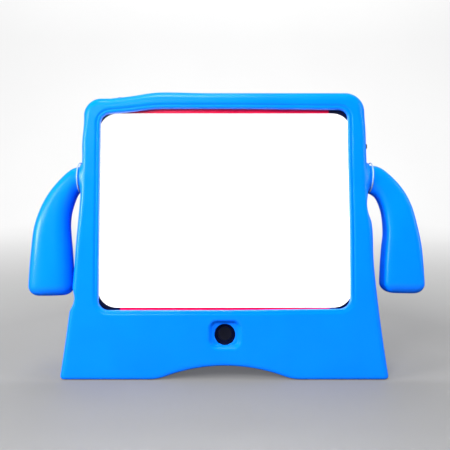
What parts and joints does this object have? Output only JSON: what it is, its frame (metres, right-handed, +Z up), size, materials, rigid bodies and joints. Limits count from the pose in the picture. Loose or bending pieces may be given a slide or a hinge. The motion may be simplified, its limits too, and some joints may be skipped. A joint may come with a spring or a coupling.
{
  "type": "kids toy tablet",
  "caption": "Kids' toy tablet in a thick soft foam carry case that stands on flared feet, with two bendable side arms, a home button and side keys.",
  "frame": {"origin": "middle of the bounding box's bottom face, on the floor midway between the toes and heels of the two feet", "axes": "+X to the viewer's right along the screen, +Y from the screen towards the back, +Z up; the screen faces -Y and leans back 8 degrees"},
  "size_m": [0.3602, 0.08, 0.2583],
  "materials": {
    "foam_blue": "matte closed-cell foam",
    "band_white": "satin elastic",
    "bezel_black": "gloss black",
    "housing_grey": "fine matte texture",
    "key_black": "satin black",
    "trim_red": "gloss red",
    "lens_clear": "polished clear",
    "screen_white": "blank white display",
    "steel": "pressed bright steel",
    "screw_steel": "zinc plated",
    "board_green": "satin solder mask",
    "component_black": "moulded resin",
    "battery_silver": "laminated foil pouch",
    "flex_orange": "polyimide film",
    "wire_red": "soft insulation",
    "gasket_black": "soft foam rubber",
    "cone_black": "pressed film"
  },
  "bodies": {
    "case": {"case_body": "foam_blue", "front_bezel": "bezel_black", "rear_cover": "housing_grey", "cover_lens": "lens_clear", "touch_panel": "lens_clear", "display_panel": "screen_white", "display_backplate": "steel", "upper_trim": "trim_red", "lower_trim": "trim_red", "home_switch": "component_black", "home_switch_board": "board_green", "power_switch": "component_black", "volume_switch_board": "board_green", "volume_switches": "component_black", "main_board": "board_green", "side_board": "board_green", "audio_board": "board_green", "board_chips": "component_black", "processor_shield": "steel", "battery_cell_left": "battery_silver", "battery_cell_right": "battery_silver", "battery_board": "board_green", "battery_leads": "wire_red", "battery_connector": "component_black", "speaker_left": "component_black", "speaker_right": "component_black", "speaker_cones": "cone_black", "speaker_gaskets": "gasket_black", "speaker_leads": "wire_red", "headphone_jack": "component_black", "charge_port": "steel", "charge_tongue": "component_black", "rear_camera": "component_black", "camera_window": "lens_clear", "antenna": "flex_orange", "display_cable": "flex_orange", "side_board_cable": "flex_orange", "audio_cable": "flex_orange", "home_cable": "flex_orange", "camera_cable": "flex_orange", "housing_screws": "screw_steel", "board_screws": "screw_steel"},
    "left_shoulder": {"left_arm_root": "foam_blue", "left_arm_band": "band_white"},
    "left_arm": {"left_arm": "foam_blue"},
    "right_shoulder": {"right_arm_root": "foam_blue", "right_arm_band": "band_white"},
    "right_arm": {"right_arm": "foam_blue"},
    "home_button": {"home_button": "key_black"},
    "power_key": {"power_key": "key_black"},
    "volume_up_key": {"volume_up_key": "key_black"},
    "volume_down_key": {"volume_down_key": "key_black"}
  },
  "joints": [
    {"name": "left_arm_swing", "type": "hinge", "parent": "case", "child": "left_shoulder", "pos_m": [-0.1338, 0.00103, 0.17701], "axis": [1, 0, 0], "range_deg": [-30, 30], "stiffness_Nm_per_rad": 0.5},
    {"name": "left_arm_raise", "type": "hinge", "parent": "left_shoulder", "child": "left_arm", "pos_m": [-0.1445, -0.00022, 0.1681], "axis": [0, 0.9903, -0.1392], "range_deg": [0, 30], "stiffness_Nm_per_rad": 0.4},
    {"name": "right_arm_swing", "type": "hinge", "parent": "case", "child": "right_shoulder", "pos_m": [0.1338, 0.00103, 0.17701], "axis": [1, 0, 0], "range_deg": [-30, 30], "stiffness_Nm_per_rad": 0.5},
    {"name": "right_arm_raise", "type": "hinge", "parent": "right_shoulder", "child": "right_arm", "pos_m": [0.1445, -0.00022, 0.1681], "axis": [0, -0.9903, 0.1392], "range_deg": [0, 30], "stiffness_Nm_per_rad": 0.4},
    {"name": "home_button_press", "type": "slide", "parent": "case", "child": "home_button", "axis": [0, 0.9903, -0.1392], "range_m": [0, 0.0008], "stiffness_N_per_m": 800, "springref_m": -0.0005},
    {"name": "power_key_press", "type": "slide", "parent": "case", "child": "power_key", "axis": [-1, 0, 0], "range_m": [0, 0.0008], "stiffness_N_per_m": 800, "springref_m": -0.0005},
    {"name": "volume_up_press", "type": "slide", "parent": "case", "child": "volume_up_key", "axis": [0, -0.1392, -0.9903], "range_m": [0, 0.0006], "stiffness_N_per_m": 800, "springref_m": -0.0005},
    {"name": "volume_down_press", "type": "slide", "parent": "case", "child": "volume_down_key", "axis": [0, -0.1392, -0.9903], "range_m": [0, 0.0006], "stiffness_N_per_m": 800, "springref_m": -0.0005}
  ]
}
